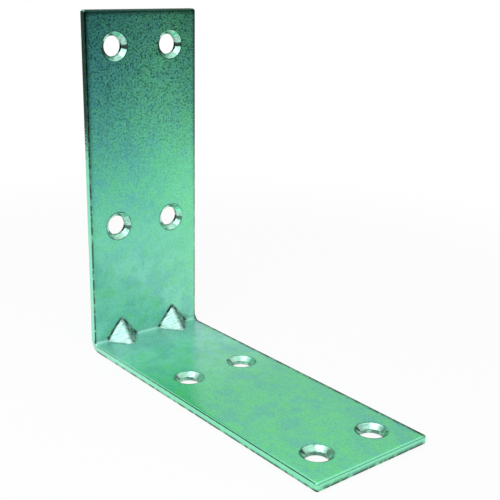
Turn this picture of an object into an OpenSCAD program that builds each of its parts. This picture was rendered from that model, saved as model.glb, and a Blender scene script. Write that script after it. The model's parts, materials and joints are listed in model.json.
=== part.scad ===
// Corner brace bracket: a strip of sheet steel folded once to a right angle, with
// countersunk screw holes in both legs and two stiffening darts pressed into the fold.
//
// The planes of the two outer faces meet at the heel, which lies on the Y axis. One leg
// lies along +X with its outer face on Z = 0, the other stands along +Z with its outer
// face on X = 0, and the strip is centred on Y = 0. The legs are alike, so each shape
// on a leg is made for the lying one and mirrored in the plane that halves the fold.

/* [Strip] */
// Length of each leg, from the heel to its end
leg_len = 108; // [90:1:160]
// Width of the strip
strip_w = 40; // [38:1:60]
// Thickness of the sheet
sheet_t = 2.5; // [1.5:0.1:3]
// Radius of the outer faces' edges, which the shears left nearly sharp
edge_r = 0.3; // [0.1:0.05:0.5]
// Radius of the inner faces' edges, which the shears rolled over
roll_r = 0.6; // [0.3:0.05:0.7]
// Radius of a leg's corners, seen face on
corner_r = 0.8; // [0.8:0.1:4]

/* [Fold] */
// Inside radius of the fold
fold_r = 1.5; // [0.5:0.1:3]
// How far the metal squeezed out of the fold stands proud of the strip's edges
squeeze = 0.4; // [0.2:0.05:0.6]
// Width of that bulge
squeeze_w = 3.6; // [2:0.1:5]

/* [Screw holes] */
// Diameter of a hole's straight part
hole_d = 6.2; // [4:0.1:7]
// Diameter of a countersink at the inner face
sink_d = 8.8; // [7.5:0.1:10]
// Full angle of a countersink
sink_angle = 90; // [80:1:100]
// From a leg's end to its far pair of holes
far_margin = 10.8; // [8:0.1:20]
// From the heel to the near pair of holes
near_reach = 41; // [25:0.1:60]
// Between the two holes of a pair, across the strip
hole_gauge = 20; // [14:0.5:26]

/* [Darts] */
// Between the two darts, across the strip
dart_gauge = 20; // [14:0.5:24]
// Width of a dart's foot, in the inner corner
dart_w = 12; // [8:0.5:13]
// Reach of a dart's crest along each inner face
dart_reach = 6.7; // [5:0.1:9]
// Radius of a dart's crest
crest_r = 1.2; // [0.4:0.1:2]
// Radius at the bottom of the dent behind a dart
dent_r = 0.5; // [0.2:0.1:0.8]

/* [Hidden] */
$fn = 96;
zinc = "#6cc3a0";
// How far joined solids overlap, and cuts run past a face
lap = 1;
// Too little to see or measure, but enough for two surfaces to cross and not only touch
hair = 0.01;

fold_outer_r = fold_r + sheet_t;
sink_depth = (sink_d - hole_d) / 2 / tan(sink_angle / 2);

// A dart's section lies across its crest, which slopes at 45 degrees to both legs. Heights
// are taken from the line where the planes of the inner faces meet. The round crest rests
// on two flanks, each a tangent from one end of the foot
crest_h = dart_reach / sqrt(2);
crest_centre_h = crest_h - crest_r;
flank_angle = atan2(crest_centre_h, dart_w / 2) + asin(crest_r / norm([crest_centre_h, dart_w / 2]));
flank_peak_h = dart_w / 2 * tan(flank_angle);
// The dent's flanks lie one thickness behind the dart's, so the sheet keeps its thickness
dent_peak_h = flank_peak_h - sheet_t / cos(flank_angle);

module on_both_legs() {
    children();
    mirror([1, 0, -1]) children();
}

module on_both_sides(gauge) {
    for (side = [-1, 1])
        translate([0, side * gauge / 2, 0]) children();
}

// Rectangle with its lower left corner at the origin and its two right corners rounded
module rounded_end(len, height, low_r, high_r) {
    square([len - low_r, height - high_r]);
    translate([0, low_r]) square([len, height - low_r - high_r]);
    translate([0, low_r]) square([len - high_r, height - low_r]);
    translate([len - low_r, low_r]) circle(low_r);
    translate([len - high_r, height - high_r]) circle(high_r);
}

// Section of the strip: width along X, thickness along Y from the outer face at 0
module strip_section() {
    for (mirrored = [0, 1])
        mirror([mirrored, 0])
            translate([-lap, 0]) rounded_end(strip_w / 2 + lap, sheet_t, edge_r, roll_r);
}

// Lying leg beyond the fold: the strip's section, trimmed to the leg's outline as seen
// from above and from the side
module leg() {
    straight_len = leg_len - fold_outer_r;
    translate([fold_outer_r, 0, 0])
        intersection() {
            rotate([90, 0, 90]) linear_extrude(straight_len) strip_section();
            translate([0, -strip_w / 2, 0])
                linear_extrude(sheet_t) rounded_end(straight_len, strip_w, corner_r, corner_r);
            rotate([90, 0, 0])
                linear_extrude(strip_w, center = true)
                    rounded_end(straight_len, sheet_t, edge_r, roll_r);
        }
}

// Quarter turn of the strip's section, about the fold's axis
module fold() {
    translate([fold_outer_r, 0, fold_outer_r])
        rotate([90, 180, 0])
            rotate_extrude(angle = 90)
                translate([fold_outer_r, 0]) rotate(90) strip_section();
}

// Corner of sheet seen from the side, square to the two legs and rounded at the fold
module quadrant(size, r) {
    translate([r, 0]) square([size - r, size]);
    translate([0, r]) square([size, size - r]);
    translate([r, r]) circle(r);
}

// Low dome on each edge of the strip, where the inside of the fold is squeezed together
module squeezed_edges() {
    dome_r = (pow(squeeze_w / 2, 2) + pow(squeeze, 2)) / (2 * squeeze);
    inner_arc_mid = fold_outer_r - fold_r / sqrt(2);
    intersection() {
        on_both_sides(strip_w + 2 * squeeze - 2 * dome_r)
            translate([inner_arc_mid, 0, inner_arc_mid]) sphere(dome_r);
        rotate([90, 0, 0])
            linear_extrude(strip_w + 2 * squeeze, center = true)
                difference() {
                    quadrant(2 * fold_outer_r, fold_outer_r);
                    translate([sheet_t, sheet_t]) quadrant(2 * fold_outer_r, fold_r);
                }
    }
}

// Countersunk hole, drilled through the lying leg at the origin
module screw_hole() {
    translate([0, 0, -lap]) cylinder(d = hole_d, h = sheet_t + 2 * lap);
    translate([0, 0, sheet_t - sink_depth])
        cylinder(d1 = hole_d, d2 = sink_d + 2 * lap * tan(sink_angle / 2), h = sink_depth + lap);
}

// Prism of a dart's section, from depth below the inner corner up to a nose whose flanks
// would meet at peak_h. The nose is a hair proud of the flanks, so that they cross it
module dart_prism(peak_h, nose_r, depth) {
    half_w = (peak_h + depth) / tan(flank_angle);
    nose_h = peak_h - nose_r / cos(flank_angle);
    tangent_x = nose_r * sin(flank_angle);
    tangent_h = nose_h + nose_r * cos(flank_angle);
    translate([sheet_t, 0, sheet_t])
        rotate([0, 45, 0])
            rotate([90, 0, 90])
                linear_extrude(4 * dart_reach, center = true) {
                    polygon([[-half_w, -depth], [half_w, -depth],
                             [tangent_x, tangent_h], [-tangent_x, tangent_h]]);
                    translate([0, nose_h]) circle(nose_r + hair);
                }
}

// Gusset that a dart makes in the inner corner, rooted halfway into the sheet
module dart() {
    intersection() {
        dart_prism(flank_peak_h, crest_r, sheet_t);
        translate([sheet_t / 2, -dart_w, sheet_t / 2])
            cube([2 * dart_reach, 2 * dart_w, 2 * dart_reach]);
    }
}

// Dent that the same pressing leaves in the outside of the fold
module dent() {
    dart_prism(dent_peak_h, dent_r, 2 * sheet_t);
}

module bracket() {
    color(zinc)
        difference() {
            union() {
                on_both_legs() leg();
                fold();
                squeezed_edges();
                on_both_sides(dart_gauge) dart();
            }
            on_both_sides(dart_gauge) dent();
            on_both_legs()
                for (reach = [near_reach, leg_len - far_margin])
                    on_both_sides(hole_gauge)
                        translate([reach, 0, 0]) screw_hole();
        }
}

bracket();
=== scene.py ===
"""Corner brace bracket: a strip of sheet steel folded once to a right angle and zinc plated,
with countersunk screw holes in both legs and two darts pressed into the fold.

The strip is one closed surface, worked out from its sizes. Its legs lie along +X and +Z,
its outer faces are on Z = 0 and X = 0, and its width is centred on Y = 0."""
import json

import bmesh
import bpy
import numpy as np
from bpy.props import FloatProperty, FloatVectorProperty, PointerProperty
from mathutils import Matrix, Vector


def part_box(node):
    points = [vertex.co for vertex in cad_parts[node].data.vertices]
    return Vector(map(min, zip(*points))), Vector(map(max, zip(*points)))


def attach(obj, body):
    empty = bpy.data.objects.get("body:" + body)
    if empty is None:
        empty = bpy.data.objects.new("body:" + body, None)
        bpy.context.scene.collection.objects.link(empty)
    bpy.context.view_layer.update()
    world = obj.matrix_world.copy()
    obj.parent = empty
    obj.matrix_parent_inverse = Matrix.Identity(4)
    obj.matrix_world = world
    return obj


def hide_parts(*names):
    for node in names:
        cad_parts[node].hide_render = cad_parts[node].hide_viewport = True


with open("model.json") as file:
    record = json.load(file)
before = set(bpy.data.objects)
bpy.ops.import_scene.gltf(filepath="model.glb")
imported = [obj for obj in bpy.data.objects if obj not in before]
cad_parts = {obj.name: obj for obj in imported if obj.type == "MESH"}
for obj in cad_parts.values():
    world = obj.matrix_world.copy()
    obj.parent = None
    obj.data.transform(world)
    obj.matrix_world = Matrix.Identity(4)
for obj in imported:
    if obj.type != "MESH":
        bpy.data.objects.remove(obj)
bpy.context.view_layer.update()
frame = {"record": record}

bl_info = {
    "name": "Corner Brace Bracket",
    "version": (1, 0, 0),
    "blender": (4, 5, 0),
    "location": "3D View > Sidebar > Brace",
    "description": "Builds a folded, zinc-plated corner brace and the studio that shows it",
    "category": "Object",
}

MM = 0.001
CAD_LOW, CAD_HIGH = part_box("bracket")
# The solid's box takes in the squeezed edges, which stand this far proud of the strip
SQUEEZE = 0.4 * MM
HOLES = next(mount for mount in frame["record"]["mounts"] if mount["name"] == "lying_leg_holes")
HOLES_MM = HOLES["dims"]
# How much each point is sheared or drilled metal, takes a painted highlight on a rounded edge, is
# burnished by a punch or a drill and partly whitened there as a painted highlight, takes painted shade in
# corners, along edges and in holes, lies inside the fold, and is drawn down by the shears, where painted
# shade darkens it
MASKS = ("cut", "edge", "pressed", "crease", "fold", "drawn")
# Points of the mesh that lie closer than this are one
MERGE = 0.001 * MM

# Patterns of the plating: size in millimetres, detail, and how many times finer they are along
# the strip, across it and through it. The grain of rolled sheet is about 0.05 mm, and is drawn
# coarser here so as to show
PATTERNS = {
    "grain": (0.65, 6, (1, 1, 1)),
    "speck": (0.6, 5, (1, 1, 1)),
    "blotch": (1.9, 3, (1, 1, 1)),
    "drift": (3.8, 4, (1, 1, 3)),
    "cloud": (9, 4, (1, 1, 3)),
    "streak": (0.4, 3, (0.08, 1, 1)),
    "shear": (0.3, 2, (1, 1, 0.1)),
    "rub": (0.8, 2, (1.3, 0.35, 1)),
}
# How far each pattern's origin lies from the last one's, so that no two of them fall in step
PATTERN_SHIFT = np.array([0.0371, 0.0593, 0.0217])
# Values of a pattern at which its mask sets in and is whole
PATTERN_ENDS = {
    "cloud": (0.42, 0.66),
    "drift": (0.46, 0.66),
    "blotch": (0.5, 0.68),
    "grain": (0.42, 0.7),
    "speck": (0.44, 0.66),
    "rub": (0.48, 0.62),
}
# Height of each pattern's relief in millimetres, and of the shears' marks on cut metal
RELIEF = {"grain": 0.03, "speck": 0.012, "cloud": 0.03, "streak": 0.006}
SHEAR_RELIEF = 0.012
# Zones of the plating: what each is measured by, and at which distances in millimetres it sets
# in and is whole. Along is from the middle of the fold, and more than 0 on the standing leg,
# away is the same on both legs, and across is from the middle of the strip towards +Y
ZONES = {
    "scuff": ("away", 58, 8),
    "clamped": ("along", -17, -7),
    "lying": ("along", 4, -2),
    "upright": ("along", -2, 25),
    "upper": ("along", 26, 90),
    "aloft": ("along", 50, 95),
    "low": ("along", 88, 35),
    # The left zone carries painted shade on the standing leg's upper left side
    "left": ("across", 14, -20),
    # The right zone carries painted light on the standing leg's lower right side
    "right": ("across", 2, 19),
    # Painted shade at the standing leg's top right
    "top_right": ("across", 3, 18),
}
# How strong the grain is, on most of the plating and high on the standing leg, where the stronger dark
# grain is also painted shade that darkens the top
GRAIN_LEAST, GRAIN_MOST = 0.17, 0.95
# How the blotch pattern breaks up the painted shade lines
BROKEN = {"From Min": 0.36, "From Max": 0.56, "To Min": 0.3, "To Max": 1.0}
# Masks and zones that count only as far as a second one does
PRODUCTS = (
    ("clamped", "lying"),
    ("left", "upper"),
    ("right", "upright"),
    ("right", "low"),
    ("top_right", "aloft"),
    ("drawn", "upper"),
    ("crease", "broken"),
    ("grain", "coarse"),
    ("rub", "pressed"),
)
# Tints laid over the zinc one after another: where, how much at most, and which colour
TINTS = (
    ("scuff", 1.0, "scuffed"),
    ("cloud", 0.46, "blue_cloud"),
    ("drift", 0.4, "green_cloud"),
    ("blotch", 0.3, "blue_cloud"),
    # The standing leg as a whole is tinted bluer
    ("upright", 0.25, "blue_cloud"),
    ("clamped", 0.5, "clamped"),
    # Painted shade: the standing leg's upper left side made darker and bluer
    ("left", 0.75, "dusk"),
    # Painted light: the standing leg's lower right side made brighter
    ("right", 0.45, "bright"),
    # Grain, stronger high on the standing leg, where it is also painted shade
    ("grain", 1.0, "grain"),
    ("speck", 0.25, "green_cloud"),
    # Painted shade at the top right of the standing leg
    ("top_right", 0.22, "grain"),
    ("cut", 0.55, "worked"),
    # Painted highlight on the rounded edges, the rounded ends and the far edge's lip
    ("edge", 0.4, "worked"),
    # Painted shade on the sagged metal near the edges, high on the standing leg
    ("drawn", 0.9, "crease"),
    # Metal burnished on the darts and countersinks, whitened partly as a painted highlight
    ("pressed", 0.55, "burnished"),
    ("fold", 0.3, "scuffed"),
    ("rub", 0.45, "grain"),
    # Painted shade: dark lines in corners and along edges, painted contact shadow and dark holes
    ("crease", 0.97, "crease"),
)
# How much of the surface acts as bare metal, away from the fold and beside it
METALLIC, METALLIC_SCUFFED = 0.93, 0.35
# How the grain pattern sets the plating's roughness, and the roughness of cut metal
ROUGHNESS = {"From Min": 0.3, "From Max": 0.7, "To Min": 0.18, "To Max": 0.26}
CUT_ROUGHNESS = 0.1

# Settings of nodes, and which sockets a node that mixes colours has for the second colour's
# share, for the two colours and for the mixed one
SMOOTH = {"interpolation_type": "SMOOTHSTEP"}
PRODUCT = {"operation": "MULTIPLY"}
SCALED_SUM = {"operation": "MULTIPLY_ADD"}
MIX_COLOURS = {"data_type": "RGBA"}
MIX_SHARE, MIX_FROM, MIX_TO, MIXED = 0, 6, 7, 2

# What metal sees of the studio, added up: the sine of the elevation at which each part starts
# and ends, and its brightness there
WORLD_RAMPS = ((-0.22, 0.035, 0.95, 0.0), (0.08, 0.42, 0.0, 0.85), (0.5, 0.8, 0.0, 0.3))
# Brightness of the world for matt surfaces
DULL_LIGHT = 0.6
# Dark things that the metal sees round it, the camera first: their direction, the cosines of
# the angles at which they begin and are whole, and what is left of the light
SHADES = (
    ((0.757, -0.64, 0.12), 0.78, 0.94, 0.03),
    ((-0.77, -0.63, 0.0), 0.7, 0.9, 0.03),
    ((-0.17, 0.98, 0.0), 0.75, 0.93, 0.05),
)
# Key lamp: the point that it looks at, its direction and distance from there, its size and its
# power in watts
KEY_AIM, KEY_WAY = (0.04, 0, 0.04), (0.26, -0.65, 0.71)
KEY_DISTANCE, KEY_SIZE, KEY_POWER = 0.5, 0.45, 1.1
# How far the floor lies below the brace, and the rings and spokes of its mesh
FLOOR_DROP = 0.05 * MM
FLOOR_RINGS, FLOOR_SPOKES = 8, 96
# White of the board under the lamps, and the glow that makes up the rest: its share near the
# brace, its brightness, and the shares of the floor's radius at which it starts to grow and is all
BOARD_WHITE = 0.9
GLOW, GLOW_LIGHT, GLOW_ENDS = 0.85, 1.02, (0.4, 0.9)
# Width of the camera's sensor in millimetres, and how near and how far it sees in metres
SENSOR = 36
CLIP = 0.01, 10


def linear(code):
    """Linear red, green and blue of an sRGB hex colour."""
    channels = np.array([int(code[i : i + 2], 16) for i in (1, 3, 5)]) / 255
    return tuple(np.where(channels <= 0.04045, channels / 12.92, ((channels + 0.055) / 1.055) ** 2.4))


def length(name, description, default, low=0.0):
    """Property for a length in metres, shown to a hundredth of a millimetre."""
    return FloatProperty(
        name=name, description=description, default=default, unit="LENGTH", precision=5, min=low
    )


def angle(name, description, degrees):
    """Property for an angle, given in degrees."""
    return FloatProperty(name=name, description=description, default=np.radians(degrees), subtype="ANGLE")


def colour(name, description, code):
    """Property for a colour, given as an sRGB hex value."""
    return FloatVectorProperty(
        name=name, description=description, default=linear(code), subtype="COLOR", min=0.0, max=1.0
    )


class BraceSizes(bpy.types.PropertyGroup):
    """Sizes of the strip, its holes and its darts."""

    leg_len: length("Leg length", "From the heel to the end of each leg", CAD_HIGH.x)
    strip_w: length("Strip width", "Width of the strip", CAD_HIGH.y - CAD_LOW.y - 2 * SQUEEZE)
    sheet_t: length("Sheet thickness", "Thickness of the sheet", 2.5 * MM)
    edge_r: length("Edge radius", "Radius of the outer faces' edges", 0.3 * MM)
    roll_r: length("Roll-over radius", "Radius of the inner faces' edges", 0.6 * MM)
    sag: length("Sag", "How far the shears drew the inner faces down at a cut", 0.07 * MM)
    sag_w: length("Sag width", "How far that reaches in from the cut", 2 * MM)
    corner_r: length("Corner radius", "Radius of a leg's corners, seen face on", 0.8 * MM)
    fold_r: length("Fold radius", "Inside radius of the fold", 1.5 * MM)
    squeeze: length("Squeeze", "How far the fold's metal stands proud of the strip's edges", SQUEEZE)
    squeeze_w: length("Squeeze width", "Width of that bulge", 3.6 * MM)

    hole_d: length("Hole diameter", "A hole's straight part", 2 * MM * HOLES_MM["hole_r_mm"])
    sink_d: length("Countersink diameter", "A countersink at the inner face", 8.8 * MM)
    sink_angle: angle("Countersink angle", "Full angle of a countersink", 90)
    hole_reach: length("Hole reach", "From the heel to the middle of a leg's holes", HOLES["pos_m"][0])
    hole_pitch: length("Hole pitch", "Between a leg's two pairs", MM * HOLES_MM["spacing_x_mm"])
    hole_gauge: length("Hole gauge", "Between a pair's holes", MM * HOLES_MM["spacing_y_mm"])
    rim_r: length("Rim radius", "Radius of the edges of a hole", 0.15 * MM)

    dart_gauge: length("Dart gauge", "Between the two darts, across the strip", 20 * MM)
    dart_w: length("Dart width", "Width of a dart's foot in the inner corner", 12 * MM)
    dart_reach: length("Dart reach", "Reach of a dart's crest along each inner face", 6.7 * MM)
    crest_r: length("Crest radius", "Radius of a dart's crest", 1.2 * MM)
    dent_r: length("Dent radius", "Radius at the bottom of the dent behind a dart", 0.5 * MM)
    press_r: length("Press blend", "Width over which a pressed form runs out into the sheet", 0.45 * MM)


class BraceFinish(bpy.types.PropertyGroup):
    """Colours of the zinc plating, and of the light and shade painted on it."""

    zinc: colour("Zinc", "The plating's main colour", "#70dca4")
    blue_cloud: colour("Blue cloud", "The plating where its film is thicker", "#66bcc0")
    green_cloud: colour("Green cloud", "The plating where its film is thinner", "#76e884")
    # Painted shade laid on the standing leg's upper left side
    dusk: colour("Dusk", "The plating at the standing leg's duller edge", "#3c869a")
    grain: colour("Grain", "The plating in the hollows of the sheet's grain", "#14504c")
    # Painted light laid on the standing leg's lower right side
    bright: colour("Bright", "The plating at the standing leg's brighter edge", "#8cf4b0")
    scuffed: colour("Scuffed", "The plating that the press has rubbed beside the fold", "#9af2da")
    clamped: colour("Clamped", "The lying leg's plating where the press held it down", "#90c8cc")
    # Also serves as a painted highlight on the darts and countersinks
    burnished: colour("Burnished", "Metal that a punch or a drill has smoothed", "#d2ebe5")
    # Also the colour of the painted highlight on rounded edges
    worked: colour("Worked metal", "Metal that the shears have cut", "#9cf4ce")
    # Painted shade: dark lines in corners and along edges, painted contact shadow and dark holes
    crease: colour("Crease", "Dull plating in sharp inner corners and along edges", "#081a14")


class BraceStudio(bpy.types.PropertyGroup):
    """Camera and lights."""

    aim_x: length("Aim along", "Where the camera aims, along the lying leg", 57.16 * MM)
    aim_z: length("Aim up", "Where the camera aims, up the standing leg", 44.97 * MM)
    aim_y: length("Aim across", "Where the camera aims, across the strip", -0.53 * MM, -1.0)
    distance: length("Distance", "From the camera to its aim", 254.4 * MM)
    azimuth: angle("Azimuth", "Round from the view along +Y towards the view along -X", 50.69)
    elevation: angle("Elevation", "Above the horizon", 17.08)
    roll: angle("Roll", "Turn about the view's own axis", -1.085)
    lens: FloatProperty(
        name="Lens", description=f"Focal length for a {SENSOR} mm sensor", default=65.37, unit="CAMERA"
    )
    floor_r: length("Floor radius", "Radius of the pale floor round the brace", 370 * MM)


def steps(marks, pitches):
    """Values from the first mark to the last, evenly spaced between neighbouring marks at
    about the pitch given for each stretch."""
    stretches = [
        np.linspace(low, high, max(1, round((high - low) / pitch)), endpoint=False)
        for low, high, pitch in zip(marks, marks[1:], pitches)
    ]
    return np.append(np.concatenate(stretches), marks[-1])


def smooth_max(a, b, width):
    """The larger of a and b, plus a quarter of the width where they cross, fading as the
    square of what is left of the width beyond their difference."""
    overlap = np.clip(width - np.abs(a - b), 0, None)
    return np.maximum(a, b) + overlap**2 / (4 * width)


def ramp(value, gone, whole):
    """Share that rises evenly from 0 where the value is at the first mark to 1 at the second."""
    return np.clip((value - gone) / (whole - gone), 0, 1)


def direction(turn):
    """Unit vectors at these angles, cosine first."""
    return np.stack([np.cos(turn), np.sin(turn)], -1)


def rolled_corner(corner, turn_in, turn_out, radius, count):
    """Points round a corner whose two sides face turn_in and turn_out: a circle touches both
    sides, its centre lying back from the corner along the sum of the two facings, divided by
    one plus their scalar product."""
    facing = direction(np.array([turn_in, turn_out]))
    centre = corner - radius * facing.sum(0) / (1 + facing[0] @ facing[1])
    return centre + radius * direction(np.linspace(turn_in, turn_out, count))


class Strip:
    """The strip as arrays: sections round the sheet, carried from the lying leg's end, round
    the fold, to the standing leg's end. Lengths are in metres."""

    # Pitches of the points: at edges and pressed forms, between them, and on plain sheet
    FINE, EVEN, WIDE = 0.3 * MM, 0.8 * MM, 2.2 * MM
    # Steps round an edge, round a leg's end, down a cut side and round the fold
    EDGE_STEPS, END_STEPS, SIDE_STEPS, FOLD_STEPS = 6, 10, 6, 24
    # How far in on a leg's end its last section stands
    SUPPORT = 0.25 * MM
    # How far beyond the fold the pressed forms reach
    PRESSED = 9 * MM
    # Half the side of the square window that holds a hole, and by how much the rings between
    # the two keep the square's form
    WINDOW = 6 * MM
    SQUARE_SHARES = np.array([0.8, 0.6, 0.4, 0.24, 0.1])
    # Where two further rings stand on a hole's cone and in its straight part
    HOLE_SUPPORT = np.array([0.15, 0.85])

    # Painted shade as a dark reflection line on the rolled edges, for the lying leg's near and far edge
    # and then the standing leg's: which way the surface faces there, its width, and how dark it is
    EDGE_SHADE = np.radians([[18, 66], [50, 62]])
    EDGE_SHADE_W = np.radians([[14, 24], [32, 30]])
    EDGE_SHADE_DARK = np.array([[0.6, 1.0], [1.0, 1.0]])
    # Painted shade round a dart's foot: how far from it the line is gone and whole, in widths of the
    # press blend, and how dark it is on the lying leg. LEE is how dark the painted shade on a dart's far
    # flank is
    FOOT = 1.8, 0.6
    FOOT_LYING, LEE = 0.3, 0.75
    # Painted contact shadow at the foot of the lying leg's cut sides: the heights at which it is gone and
    # whole
    BASE = 0.9 * MM, 0.45 * MM
    # Painted shade as a dark line inside the far edges: its width on the lying and on the standing leg,
    # and how many such widths from the edge it is gone and whole
    RIM_W = np.array([1.0, 0.45]) * MM
    RIM = 1.8, 0.8
    # Shares of the full sag, and of facing straight inwards, that make a point wholly drawn, and so wholly
    # in the painted shade laid on the sag
    DRAWN_SAG, DRAWN_FACING = 2 / 3, 0.625
    # In a hole: how burnished the cut metal is, which also whitens it as a painted highlight, and how dark
    # the painted shade at its rim and in the bore is
    SINK_SHINE, SINK_LINE, BORE_DULL = 0.7, 0.3, 0.7

    def __init__(self, sizes):
        self.sizes = sizes
        self.fold_outer_r = sizes.fold_r + sizes.sheet_t
        self.half_w = sizes.strip_w / 2 - sizes.roll_r
        self.hole_reaches = [sizes.hole_reach + side * sizes.hole_pitch / 2 for side in (-1, 1)]
        self.points, self.places, self.masks, self.faces = [], [], [], []
        self.make_section()
        self.make_path()
        self.add_sections()
        self.add_walls()
        self.add_ends()
        for hole in self.windows():
            self.add_hole(*hole)

    def make_section(self):
        """The section is the trace of a small circle that rolls round inside the sheet: its
        centre's place across the strip and above the outer face, and which way the surface
        faces there, as an angle from +Y towards the inner face."""
        s = self.sizes
        outside = s.hole_gauge / 2 + self.WINDOW
        between = s.hole_gauge / 2 - self.WINDOW
        marks = [-self.half_w, s.sag_w - self.half_w, -outside, -between]
        marks += [-mark for mark in reversed(marks)]
        pitches = [self.FINE, self.EVEN, self.FINE, self.EVEN, self.FINE, self.EVEN, self.FINE]
        self.across = steps(marks, pitches)
        low, high = s.edge_r, s.sheet_t - s.roll_r
        low_y = s.strip_w / 2 - s.edge_r
        across_outer = np.concatenate([[low_y], -self.across[1:-1], [-low_y]])
        quarter = np.linspace(np.pi / 2, 0, self.EDGE_STEPS + 1)[1:-1]
        side = np.linspace(high, low, self.SIDE_STEPS)
        stretches = [
            (self.across, high, s.roll_r, np.pi / 2),
            (self.half_w, high, s.roll_r, quarter),
            (s.strip_w / 2, side, 0, 0),
            (low_y, low, s.edge_r, quarter - np.pi / 2),
            (across_outer, low, s.edge_r, -np.pi / 2),
            (-low_y, low, s.edge_r, quarter - np.pi),
            (-s.strip_w / 2, side[::-1], 0, -np.pi),
            (-self.half_w, high, s.roll_r, quarter - 1.5 * np.pi),
        ]
        stretches = [np.broadcast_arrays(*stretch) for stretch in stretches]
        self.centre_y, self.centre_h, self.radius, self.facing = np.concatenate(stretches, axis=1)
        self.last = len(self.across) - 1
        self.outer_start = self.last + 1 + 2 * len(quarter) + len(side)
        self.is_inner = self.facing == np.pi / 2
        self.is_outer = self.facing == -np.pi / 2

    def make_path(self):
        """Stations from the lying leg's end to the standing leg's. Each has its reach from the
        heel, its turn round the fold, and its tuck, which draws the last section in on the
        end's flat. Where a leg's end is rounded they stand by equal angles of its circle."""
        s = self.sizes
        marks = [self.fold_outer_r, self.fold_outer_r + self.PRESSED]
        pitches = [self.FINE]
        for reach in self.hole_reaches:
            marks += [reach - self.WINDOW, reach + self.WINDOW]
            pitches += [self.WIDE, self.EVEN]
        marks += [s.leg_len - s.sag_w, s.leg_len - s.corner_r]
        flat = steps(marks, pitches + [self.WIDE, self.FINE])
        rounding = np.linspace(0, np.pi / 2, self.END_STEPS + 1)[1:]
        round_reach = s.leg_len - s.corner_r * (1 - np.sin(rounding))
        leg_reach = np.concatenate([flat, round_reach, [s.leg_len]])
        leg_tuck = np.concatenate([0 * flat, 0 * rounding, [self.SUPPORT]])
        fold = np.linspace(0, np.pi / 2, self.FOLD_STEPS + 1)[1:-1]
        self.reach = np.concatenate([leg_reach[::-1], 0 * fold + self.fold_outer_r, leg_reach])
        self.turn = np.concatenate([0 * leg_reach, fold, 0 * leg_reach + np.pi / 2])
        self.tuck = np.concatenate([leg_tuck[::-1], 0 * fold, leg_tuck])

    def on_path(self, reach, turn, y, h):
        """Place of a point of the sheet: on the circle round the fold's axis whose radius is the
        outer radius less the height h, then straight on along the leg by the rest of the reach."""
        radius = self.fold_outer_r - h
        beyond = reach - self.fold_outer_r
        standing = turn > np.pi / 4
        x = self.fold_outer_r - radius * np.sin(turn) + np.where(standing, 0, beyond)
        z = self.fold_outer_r - radius * np.cos(turn) + np.where(standing, beyond, 0)
        return np.stack(np.broadcast_arrays(x, y, z), -1)

    def unfolded(self, reach, turn, y, h):
        """Place on the unfolded sheet: along it from the middle of the fold, then across it,
        then its height. The fold is measured round the sheet's middle layer."""
        middle_r = self.fold_outer_r - self.sizes.sheet_t / 2
        past = turn - np.pi / 4
        along = middle_r * past + np.sign(past) * (reach - self.fold_outer_r)
        return np.stack(np.broadcast_arrays(along, y, h), -1)

    def dart_section(self, y, peak, nose_r, flank):
        """Height of the darts' section: two flanks that would meet at the peak, each falling by
        the tangent of its angle, under a circle that touches both."""
        aside = np.abs(np.abs(y) - self.sizes.dart_gauge / 2)
        nose = peak - nose_r / np.cos(flank) + np.sqrt(np.clip(nose_r**2 - aside**2, 0, None))
        return np.where(aside < nose_r * np.sin(flank), nose, peak - aside * np.tan(flank))

    def press_darts(self, points):
        """Raises the inner face to the darts' section and the outer face to that of the dents,
        straight away from the heel. Heights are taken from the line where the planes of the
        inner faces meet, and the dents' flanks lie one sheet behind the darts'. Returns how
        far the pressed form stands above each point of the sheet, in widths of the blend."""
        s = self.sizes
        half = s.dart_w / 2
        crest_centre = s.dart_reach / np.sqrt(2) - s.crest_r
        flank = np.arctan2(crest_centre, half) + np.arcsin(s.crest_r / np.hypot(crest_centre, half))
        peak = half * np.tan(flank)
        height = (points[..., 0] + points[..., 2] - 2 * s.sheet_t) / np.sqrt(2)
        dart = self.dart_section(points[..., 1], peak, s.crest_r, flank)
        dent = self.dart_section(points[..., 1], peak - s.sheet_t / np.cos(flank), s.dent_r, flank)
        pressed = np.where(self.is_inner, dart, dent)
        pressed = np.where(self.is_inner | self.is_outer, pressed, -s.leg_len)
        lift = (smooth_max(height, pressed, s.press_r) - height) / np.sqrt(2)
        points[..., 0] += lift
        points[..., 2] += lift
        return (pressed - height) / s.press_r

    def squeeze_edges(self, points):
        """Swells the sides of the strip at the inside of the fold: the bulge falls off as the
        square of what one exceeds the squared distance by, in half widths of the bulge."""
        s = self.sizes
        middle = self.fold_outer_r - s.fold_r / np.sqrt(2)
        away = np.hypot(points[..., 0] - middle, points[..., 2] - middle) / (s.squeeze_w / 2)
        side = np.clip((np.abs(points[..., 1]) - self.half_w) / s.roll_r, 0, 1)
        points[..., 1] += np.sign(points[..., 1]) * side * s.squeeze * np.clip(1 - away**2, 0, None) ** 2

    def end_inset(self, reach, radius):
        """How far a corner of this radius at a leg's end has drawn in at this reach: the radius
        less the half chord there."""
        past = np.clip(reach - self.sizes.leg_len + radius, 0, radius)
        return radius - np.sqrt(radius**2 - past**2)

    def sag(self, away):
        """How far the shears have drawn the inner face down, this far away from a cut: the square
        of what is left of the sag's width."""
        return self.sizes.sag * np.clip(1 - away / self.sizes.sag_w, 0, 1) ** 2

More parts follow.
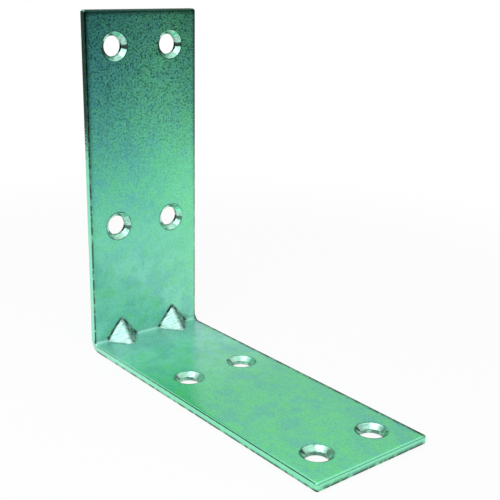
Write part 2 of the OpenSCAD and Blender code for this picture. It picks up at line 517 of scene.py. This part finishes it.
    def add_sections(self):
        """Adds the sections at all stations, as a grid of stations by section points. At a leg's
        end its corners narrow them, and their heights draw in by the edges' own radii."""
        s = self.sizes
        reach, turn, tuck = (a[:, None] for a in (self.reach, self.turn, self.tuck))
        to_side, to_inner = np.cos(self.facing), np.sin(self.facing)
        narrowed = 1 - self.end_inset(reach, s.corner_r) / (s.strip_w / 2) - tuck / self.half_w
        y = (self.centre_y + self.radius * to_side) * narrowed
        h = self.centre_h + (self.radius - self.end_inset(reach, self.radius)) * to_inner
        sag = self.sag(s.strip_w / 2 - np.abs(y)) + self.sag(s.leg_len - reach)
        h = h - sag * np.clip(to_inner, 0, 1)
        middle = (s.sheet_t - s.roll_r + s.edge_r) / 2
        h = middle + (h - middle) * (1 - tuck / (middle - s.edge_r))
        points = self.on_path(reach, turn, y, h)
        proud = self.press_darts(points)
        self.squeeze_edges(points)
        masks = self.section_masks(reach, turn, y, h, sag, proud)
        self.grid = self.add_points(points, self.unfolded(reach, turn, y, h), masks)

    def section_masks(self, reach, turn, y, h, sag, proud):
        """Masks of the sections' points. Painted shade lies on the line round a dart's foot and the
        dart's far flank, on the outer faces' edges and the foot of the lying leg's cut sides as a
        painted contact shadow, on a line of the rolled edges as a painted dark reflection, and on the
        line inside the far edges. Painted highlights lie on the rounded edges, the rounded ends and
        the lip beside the lying leg's far edge. An edge counts by twice the product of how far it
        faces sideways and how far it faces inwards or outwards."""
        s = self.sizes
        to_side, to_inner = np.cos(self.facing), np.sin(self.facing)
        is_lying, is_standing = turn < np.pi / 4, turn > np.pi / 4
        end = ramp(reach, s.leg_len - s.roll_r, s.leg_len)
        dart = ramp(proud, -0.5, 0.5)
        rounded = 2 * to_inner * np.abs(to_side)
        on_far_edge = np.clip(to_inner, 0, 1) * (y > 0)
        lip = on_far_edge * is_lying * self.sag(s.strip_w / 2 - np.abs(y)) / s.sag

        # Painted shade round a dart's foot and on its far flank
        foot = ramp(np.abs(proud), *self.FOOT) * np.where(is_standing, 1, self.FOOT_LYING)
        past_crest = y - np.sign(y) * s.dart_gauge / 2
        lee = self.LEE * dart * ramp(past_crest, 0, s.crest_r)
        leg = np.where(is_standing, 1, 0)
        edge = leg, np.where(self.centre_y > 0, 1, 0)
        off_line = (np.arcsin(to_inner) - self.EDGE_SHADE[edge]) / self.EDGE_SHADE_W[edge]
        is_rolled = (self.radius == s.roll_r) & ~self.is_inner
        # Painted dark reflection line on the rolled edges
        edge_shade = self.EDGE_SHADE_DARK[edge] * np.exp(-(off_line**2)) * (1 - end) * is_rolled
        # Painted contact shadow at the foot of the lying leg's cut sides
        base = np.maximum(np.abs(to_side), end) * is_lying * ramp(h, *self.BASE)
        # Painted shade as a dark line inside the far edges
        rim = ramp((s.strip_w / 2 - y) / self.RIM_W[leg], *self.RIM) * (1 - end) * on_far_edge
        shaded = foot * self.is_inner, lee * self.is_inner, np.clip(-rounded, 0, 1), edge_shade, base, rim
        # Painted highlights on the rounded edges, the rounded ends and the far edge's lip
        highlit = np.clip(rounded, 0, 1), np.sin(np.pi * end), lip
        return {
            "cut": np.maximum(to_side**2, end**2),
            "edge": np.max(np.broadcast_arrays(*highlit), axis=0),
            "pressed": dart,
            "crease": np.max(np.broadcast_arrays(*shaded), axis=0),
            "fold": np.sin(2 * turn) * np.clip(to_inner, 0, 1),
            # Where the sag's painted shade falls
            "drawn": ramp(sag, 0, self.DRAWN_SAG * s.sag) * ramp(to_inner, 0, self.DRAWN_FACING),
        }

    def add_points(self, points, places, masks):
        """Keeps an array of points with their places on the unfolded sheet and their masks, which
        are 0 where none are given, and returns the points' numbers in the same layout."""
        start = sum(map(len, self.points))
        shape = points.shape[:-1]
        values = [np.broadcast_to(masks.get(name, 0.0), shape) for name in MASKS]
        self.points.append(points.reshape(-1, 3))
        self.places.append(places.reshape(-1, 3))
        self.masks.append(np.stack(values, -1).reshape(-1, len(MASKS)))
        return start + np.arange(points[..., 0].size).reshape(shape)

    def windows(self):
        """For each hole its leg, its middle, and the rows and columns of the grid between
        which it lies."""
        for leg in (0, 1):
            on_leg = np.isclose(self.turn, leg * np.pi / 2)
            for reach in self.hole_reaches:
                edges = reach - self.WINDOW, reach + self.WINDOW
                misses = [np.where(on_leg, np.abs(self.reach - edge), np.inf) for edge in edges]
                rows = sorted(int(np.argmin(miss)) for miss in misses)
                for side in (-1, 1):
                    middle = side * self.sizes.hole_gauge / 2
                    misses = [np.abs(self.across - middle - half * self.WINDOW) for half in (-1, 1)]
                    yield leg, (reach, middle), rows, [int(np.argmin(miss)) for miss in misses]

    def add_walls(self):
        """Adds the grid's faces, apart from the windows that the holes fill."""
        number = self.grid
        ahead = np.roll(number, -1, axis=1)
        quads = np.stack([number[:-1], ahead[:-1], ahead[1:], number[1:]], -1)
        keep = np.ones(quads.shape[:2], bool)
        for _, _, (top, bottom), (left, right) in self.windows():
            outer_left = self.outer_start + self.last
            keep[top:bottom, left:right] = False
            keep[top:bottom, outer_left - right : outer_left - left] = False
        self.faces.append(quads[keep])

    def add_ends(self):
        """Closes both ends, with a row of faces from the inner face's side to the outer's."""
        for ring, order in ((self.grid[0], -1), (self.grid[-1], 1)):
            top = ring[: self.last + 1]
            bottom = ring[self.outer_start : self.outer_start + self.last + 1][::-1]
            middle = np.stack([top[1:-2], top[2:-1], bottom[2:-1], bottom[1:-2]], -1)
            right = ring[self.last - 1 : self.outer_start + 2]
            left = np.append(ring[self.outer_start + self.last - 1 :], ring[:2])
            self.faces += [middle[:, ::order], right[None, ::order], left[None, ::order]]

    def hole_profile(self):
        """Rings of a hole from the inner face to the outer: each ring's share of the window's
        square, its radius, its height, and its masks."""
        s = self.sizes
        sink_r, hole_r = s.sink_d / 2, s.hole_d / 2
        cone = np.pi - s.sink_angle / 2
        sink_depth = (sink_r - hole_r) / np.tan(s.sink_angle / 2)
        rim = rolled_corner((sink_r, s.sheet_t), np.pi / 2, cone, s.rim_r, self.EDGE_STEPS)
        throat = rolled_corner((hole_r, s.sheet_t - sink_depth), cone, np.pi, s.rim_r, self.EDGE_STEPS)
        mouth = rolled_corner((hole_r, 0), np.pi, 1.5 * np.pi, s.rim_r, self.EDGE_STEPS)
        support = self.HOLE_SUPPORT[:, None]
        sloping = rim[-1] + (throat[0] - rim[-1]) * support
        straight = throat[-1] + (mouth[0] - throat[-1]) * support
        inner = np.array([[sink_r + 2 * s.rim_r, s.sheet_t]])
        outer = np.array([[hole_r + 2 * s.rim_r, 0]])
        rounds = [inner, rim, sloping, throat, straight, mouth, outer]
        count = len(self.SQUARE_SHARES)
        blank, swell = np.zeros(count), np.sin(np.linspace(0, np.pi, self.EDGE_STEPS))
        rise = np.linspace(0, 1, self.EDGE_STEPS)
        dull, bore = rise * self.BORE_DULL, [self.BORE_DULL] * len(self.HOLE_SUPPORT)
        # One entry for each of the rounds, between those for the rings that keep some of the square
        cut = [blank, [0], rise, [1, 1], np.ones(self.EDGE_STEPS), [1, 1], rise[::-1], [0], blank]
        # Painted highlight round the hole's rounded edges
        edge = [blank, [0], swell * rise, [0, 0], swell, [0, 0], swell, [0], blank]
        # Painted shade: a dark line at the countersink's rim, and the bore and its rounded edges darker
        crease = [blank, [self.SINK_LINE], 1 - rise, [0, 0], dull, bore, dull[::-1], [0], blank]
        radius, height = np.concatenate([inner.repeat(count, 0), *rounds, outer.repeat(count, 0)]).T
        square = np.zeros(len(radius))
        square[:count] = self.SQUARE_SHARES
        square[-count:] = self.SQUARE_SHARES[::-1]
        return square, radius, height, *map(np.concatenate, (cut, edge, crease))

    def add_hole(self, leg, middle, rows, columns):
        """Joins the inner and outer windows by the rings of a hole. A ring lies on its circle,
        or between that and the square, by its share, seen in the same direction."""
        (top, bottom), (left, right) = rows, columns
        rows, columns = np.arange(top, bottom + 1), np.arange(left, right + 1)
        down, over = bottom - top, right - left
        row = np.concatenate([[top] * over, rows[:-1], [bottom] * over, rows[:0:-1]])
        column = np.concatenate([columns[:-1], [right] * down, columns[:0:-1], [left] * down])
        inner = self.grid[row, column]
        outer = self.grid[row, self.outer_start + self.last - column]
        offset = np.stack([self.reach[row], self.across[column]], -1) - middle
        outward = offset / np.hypot(*offset.T)[:, None]
        square, radius, height, cut, edge, crease = (a[:, None] for a in self.hole_profile())
        plan = middle + square[..., None] * offset + ((1 - square) * radius)[..., None] * outward
        turn = np.full(1, leg * np.pi / 2)
        points = self.on_path(plan[..., 0], turn, plan[..., 1], height)
        places = self.unfolded(plan[..., 0], turn, plan[..., 1], height)
        masks = {"cut": cut, "edge": edge, "pressed": cut * self.SINK_SHINE, "crease": crease}
        rings = np.concatenate([inner[None], self.add_points(points, places, masks), outer[None]])
        ahead = np.roll(rings, -1, axis=1)
        quads = np.stack([rings[:-1], ahead[:-1], ahead[1:], rings[1:]], -1)
        self.faces.append(quads.reshape(-1, 4))


def make_mesh(name, strip):
    """Mesh of the strip: the points that its faces use, with the place on the unfolded sheet
    and the masks as attributes, and the points that coincide at its ends merged."""
    used = np.unique(np.concatenate([faces.ravel() for faces in strip.faces]))
    number = np.zeros(used[-1] + 1, int)
    number[used] = np.arange(len(used))
    faces = [face for block in strip.faces for face in number[block].tolist()]
    mesh = bpy.data.meshes.new(name)
    mesh.from_pydata(np.concatenate(strip.points)[used], [], faces)
    place = mesh.attributes.new("unfolded", "FLOAT_VECTOR", "POINT")
    place.data.foreach_set("vector", np.concatenate(strip.places)[used].ravel())
    for mask, values in zip(MASKS, np.concatenate(strip.masks)[used].T):
        mesh.attributes.new(mask, "FLOAT", "POINT").data.foreach_set("value", values.astype(np.float32))
    solid = bmesh.new()
    solid.from_mesh(mesh)
    bmesh.ops.remove_doubles(solid, verts=solid.verts, dist=MERGE)
    solid.to_mesh(mesh)
    solid.free()
    mesh.shade_smooth()
    return mesh


def add_node(tree, kind, settings, inputs, output=0):
    """Adds a node with its settings. Each input, by name or number, is given a value or the
    output that feeds it. Returns the output asked for, if the node has any."""
    node = tree.nodes.new(kind)
    for name, value in settings.items():
        setattr(node, name, value)
    for socket, value in inputs.items():
        if isinstance(value, bpy.types.NodeSocket):
            tree.links.new(value, node.inputs[socket])
        else:
            node.inputs[socket].default_value = value
    return node.outputs[output] if node.outputs else None


def empty_tree(owner):
    """Node tree of a material or world, cleared of what Blender puts there."""
    owner.use_nodes = True
    owner.node_tree.nodes.clear()
    return owner.node_tree


def zinc_plate(finish):
    """Zinc plating, blue passivated, on cold-rolled sheet. It gives the eye a dull metal
    sheen in a blue-green cast, with cloudy patches where the film is thicker or thinner, a
    fine grain from the rolled sheet beneath, and whiter metal where a tool has burnished it,
    which also serves as a painted highlight. Painted shade darkens corners, edges, holes, the
    standing leg's upper left side and its top, and painted light brightens its lower right side
    and the rounded edges."""
    material = bpy.data.materials.new("zinc_plate")
    tree = empty_tree(material)
    sheet = add_node(tree, "ShaderNodeAttribute", {"attribute_name": "unfolded"}, {}, "Vector")
    masks = {
        name: add_node(tree, "ShaderNodeAttribute", {"attribute_name": name}, {}, "Fac") for name in MASKS
    }
    patterns = {}
    for number, (name, (size_mm, detail, finer)) in enumerate(PATTERNS.items(), 1):
        inputs = {"Vector": sheet, "Location": number * PATTERN_SHIFT, "Scale": finer}
        place = add_node(tree, "ShaderNodeMapping", {}, inputs)
        inputs = {"Vector": place, "Scale": 1 / (size_mm * MM), "Detail": detail}
        patterns[name] = add_node(tree, "ShaderNodeTexNoise", {}, inputs, "Fac")
    for name, (low, high) in PATTERN_ENDS.items():
        ends = {"Value": patterns[name], "From Min": low, "From Max": high}
        masks[name] = add_node(tree, "ShaderNodeMapRange", SMOOTH, ends)

    along = add_node(tree, "ShaderNodeSeparateXYZ", {}, {0: sheet}, "X")
    across = add_node(tree, "ShaderNodeSeparateXYZ", {}, {0: sheet}, "Y")
    away = add_node(tree, "ShaderNodeMath", {"operation": "ABSOLUTE"}, {0: along})
    measures = {"along": along, "across": across, "away": away}
    for name, (measure, low, high) in ZONES.items():
        ends = {"Value": measures[measure], "From Min": low * MM, "From Max": high * MM}
        masks[name] = add_node(tree, "ShaderNodeMapRange", SMOOTH, ends)
    masks["broken"] = add_node(tree, "ShaderNodeMapRange", SMOOTH, {"Value": patterns["blotch"], **BROKEN})
    ends = {"Value": masks["aloft"], "To Min": GRAIN_LEAST, "To Max": GRAIN_MOST}
    masks["coarse"] = add_node(tree, "ShaderNodeMapRange", {}, ends)
    for name, second in PRODUCTS:
        both = {0: masks[name], 1: masks[second]}
        masks[name] = add_node(tree, "ShaderNodeMath", PRODUCT, both)

    shade = (*finish.zinc, 1)
    for name, most, tint in TINTS:
        share = add_node(tree, "ShaderNodeMath", PRODUCT, {0: masks[name], 1: most})
        blend = {MIX_SHARE: share, MIX_FROM: shade, MIX_TO: (*getattr(finish, tint), 1)}
        shade = add_node(tree, "ShaderNodeMix", MIX_COLOURS, blend, MIXED)

    relief = 0.0
    for name, height_mm in RELIEF.items():
        weights = {0: patterns[name], 1: height_mm, 2: relief}
        relief = add_node(tree, "ShaderNodeMath", SCALED_SUM, weights)
    sheared = add_node(tree, "ShaderNodeMath", PRODUCT, {0: masks["cut"], 1: SHEAR_RELIEF})
    weights = {0: patterns["shear"], 1: sheared, 2: relief}
    relief = add_node(tree, "ShaderNodeMath", SCALED_SUM, weights)
    bump = add_node(tree, "ShaderNodeBump", {}, {"Height": relief, "Distance": MM})
    rough = add_node(tree, "ShaderNodeMapRange", {}, {"Value": patterns["grain"], **ROUGHNESS})
    ends = {"Value": masks["cut"], "To Min": rough, "To Max": CUT_ROUGHNESS}
    rough = add_node(tree, "ShaderNodeMapRange", {}, ends)
    ends = {"Value": masks["scuff"], "To Min": METALLIC, "To Max": METALLIC_SCUFFED}
    bare = add_node(tree, "ShaderNodeMapRange", {}, ends)
    inputs = {"Base Color": shade, "Metallic": bare, "Roughness": rough, "Normal": bump}
    plate = add_node(tree, "ShaderNodeBsdfPrincipled", {}, inputs)
    add_node(tree, "ShaderNodeOutputMaterial", {}, {"Surface": plate})
    return material


def floor_paint(floor_r):
    """Matt white board that partly glows, so that it reads as plain white and still takes a
    faint shadow near the brace. It can be seen through from below."""
    material = bpy.data.materials.new("white_board")
    tree = empty_tree(material)
    matt = add_node(tree, "ShaderNodeBsdfDiffuse", {}, {"Color": (BOARD_WHITE,) * 3 + (1,)})
    glow = add_node(tree, "ShaderNodeEmission", {}, {"Color": (1, 1, 1, 1), "Strength": GLOW_LIGHT})
    place = add_node(tree, "ShaderNodeTexCoord", {}, {}, "Object")
    away = add_node(tree, "ShaderNodeVectorMath", {"operation": "LENGTH"}, {0: place}, "Value")
    low, high = (end * floor_r for end in GLOW_ENDS)
    ends = {"Value": away, "From Min": low, "From Max": high, "To Min": GLOW, "To Max": 1.0}
    share = add_node(tree, "ShaderNodeMapRange", {}, ends)
    top = add_node(tree, "ShaderNodeMixShader", {}, {0: share, 1: matt, 2: glow})
    clear = add_node(tree, "ShaderNodeBsdfTransparent", {}, {})
    below = add_node(tree, "ShaderNodeNewGeometry", {}, {}, "Backfacing")
    whole = add_node(tree, "ShaderNodeMixShader", {}, {0: below, 1: top, 2: clear})
    add_node(tree, "ShaderNodeOutputMaterial", {}, {"Surface": whole})
    return material


def make_floor(floor_r):
    """Round floor: rings of points by radius and angle about the heel, a hair below it."""
    radii = np.linspace(0, floor_r, FLOOR_RINGS + 1)[1:]
    turns = np.linspace(0, 2 * np.pi, FLOOR_SPOKES + 1)[:-1]
    radius, turn = np.meshgrid(radii, turns, indexing="ij")
    rings = np.stack([radius * np.cos(turn), radius * np.sin(turn), 0 * turn - FLOOR_DROP], -1)
    number = np.arange(radius.size).reshape(radius.shape)
    ahead = np.roll(number, -1, axis=1)
    quads = np.stack([number[:-1], number[1:], ahead[1:], ahead[:-1]], -1).reshape(-1, 4)
    mesh = bpy.data.meshes.new("floor")
    mesh.from_pydata(rings.reshape(-1, 3), [], quads.tolist() + [number[0].tolist()])
    return mesh


def light_world(scene):
    """White world. Metal sees it dark just above the horizon, as the unlit end of a studio, and
    bright overhead, as its ceiling of soft boxes, with a few dark things round about."""
    world = bpy.data.worlds.new("studio")
    scene.world = world
    tree = empty_tree(world)
    way = add_node(tree, "ShaderNodeTexCoord", {}, {}, "Generated")
    rise = add_node(tree, "ShaderNodeSeparateXYZ", {}, {0: way}, "Z")
    seen = 0.0
    for low, high, bottom, top in WORLD_RAMPS:
        ends = {"Value": rise, "From Min": low, "From Max": high, "To Min": bottom, "To Max": top}
        part = add_node(tree, "ShaderNodeMapRange", SMOOTH, ends)
        seen = add_node(tree, "ShaderNodeMath", {"operation": "ADD"}, {0: part, 1: seen})
    for middle, edge, core, left in SHADES:
        both = {0: way, 1: middle}
        toward = add_node(tree, "ShaderNodeVectorMath", {"operation": "DOT_PRODUCT"}, both, "Value")
        ends = {"Value": toward, "From Min": edge, "From Max": core, "To Min": 1.0, "To Max": left}
        shade = add_node(tree, "ShaderNodeMapRange", SMOOTH, ends)
        seen = add_node(tree, "ShaderNodeMath", PRODUCT, {0: seen, 1: shade})
    glossy = add_node(tree, "ShaderNodeLightPath", {}, {}, "Is Glossy Ray")
    diffuse = add_node(tree, "ShaderNodeLightPath", {}, {}, "Is Diffuse Ray")
    strength = 1.0
    for ray, light in ((glossy, seen), (diffuse, DULL_LIGHT)):
        ends = {"Value": ray, "From Min": 0.0, "From Max": 1.0, "To Min": strength, "To Max": light}
        strength = add_node(tree, "ShaderNodeMapRange", {}, ends)
    background = add_node(tree, "ShaderNodeBackground", {}, {"Color": (1, 1, 1, 1), "Strength": strength})
    add_node(tree, "ShaderNodeOutputWorld", {}, {"Surface": background})


def aim_camera(scene, studio):
    """Camera at the given distance from its aim, along the direction that azimuth and elevation
    give, turned about its own axis by the roll."""
    flat, rise = studio.azimuth, studio.elevation
    ahead = Vector((-np.sin(flat) * np.cos(rise), np.cos(flat) * np.cos(rise), -np.sin(rise)))
    level = Vector((np.cos(flat), np.sin(flat), 0))
    below = ahead.cross(level)
    right = level * np.cos(studio.roll) + below * np.sin(studio.roll)
    up = right.cross(ahead)
    data = bpy.data.cameras.new("camera")
    data.sensor_width = SENSOR
    data.lens = studio.lens
    data.clip_start, data.clip_end = CLIP
    camera = bpy.data.objects.new("camera", data)
    scene.collection.objects.link(camera)
    aim = Vector((studio.aim_x, studio.aim_y, studio.aim_z))
    axes = Matrix((right, up, -ahead)).transposed().to_4x4()
    camera.matrix_world = Matrix.Translation(aim - ahead * studio.distance) @ axes
    scene.camera = camera


def hang_key_lamp(scene):
    """Square soft lamp, hung in the key's direction and facing the middle of the brace."""
    data = bpy.data.lights.new("key", "AREA")
    data.size, data.energy = KEY_SIZE, KEY_POWER
    lamp = bpy.data.objects.new("key", data)
    scene.collection.objects.link(lamp)
    way = Vector(KEY_WAY).normalized()
    turned = way.to_track_quat("Z", "Y").to_matrix().to_4x4()
    lamp.matrix_world = Matrix.Translation(Vector(KEY_AIM) + way * KEY_DISTANCE) @ turned


class BRACE_OT_bracket(bpy.types.Operator):
    """Build the folded strip with its holes and darts, and plate it"""

    bl_idname = "brace.bracket"
    bl_label = "Build Bracket"

    def execute(self, context):
        mesh = make_mesh("brace_strip", Strip(context.scene.brace_sizes))
        bracket = bpy.data.objects.new("brace_strip", mesh)
        context.scene.collection.objects.link(bracket)
        mesh.materials.append(zinc_plate(context.scene.brace_finish))
        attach(bracket, "root")
        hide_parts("bracket")
        return {"FINISHED"}


class BRACE_OT_studio(bpy.types.Operator):
    """Set up the floor, the lights and the camera"""

    bl_idname = "brace.studio"
    bl_label = "Set Up Studio"

    def execute(self, context):
        scene, studio = context.scene, context.scene.brace_studio
        floor = bpy.data.objects.new("floor", make_floor(studio.floor_r))
        scene.collection.objects.link(floor)
        floor.data.materials.append(floor_paint(studio.floor_r))
        light_world(scene)
        hang_key_lamp(scene)
        aim_camera(scene, studio)
        scene.view_settings.view_transform = "Standard"
        return {"FINISHED"}


class BRACE_PT_panel(bpy.types.Panel):
    """Builds the brace and its studio"""

    bl_idname = "BRACE_PT_panel"
    bl_label = "Corner Brace"
    bl_space_type = "VIEW_3D"
    bl_region_type = "UI"
    bl_category = "Brace"

    def draw(self, context):
        for operator in (BRACE_OT_bracket, BRACE_OT_studio):
            self.layout.operator(operator.bl_idname)
        for group in (context.scene.brace_sizes, context.scene.brace_finish, context.scene.brace_studio):
            box = self.layout.box()
            for name in group.bl_rna.properties.keys():
                if name not in ("rna_type", "name"):
                    box.prop(group, name)


CLASSES = (BraceSizes, BraceFinish, BraceStudio, BRACE_OT_bracket, BRACE_OT_studio, BRACE_PT_panel)
GROUPS = {"brace_sizes": BraceSizes, "brace_finish": BraceFinish, "brace_studio": BraceStudio}


def register():
    for cls in CLASSES:
        bpy.utils.register_class(cls)
    for name, group in GROUPS.items():
        setattr(bpy.types.Scene, name, PointerProperty(type=group))


def unregister():
    for name in GROUPS:
        delattr(bpy.types.Scene, name)
    for cls in reversed(CLASSES):
        bpy.utils.unregister_class(cls)


def main():
    """Builds the scene."""
    register()
    bpy.ops.brace.bracket()
    bpy.ops.brace.studio()


if __name__ == "__main__":
    main()
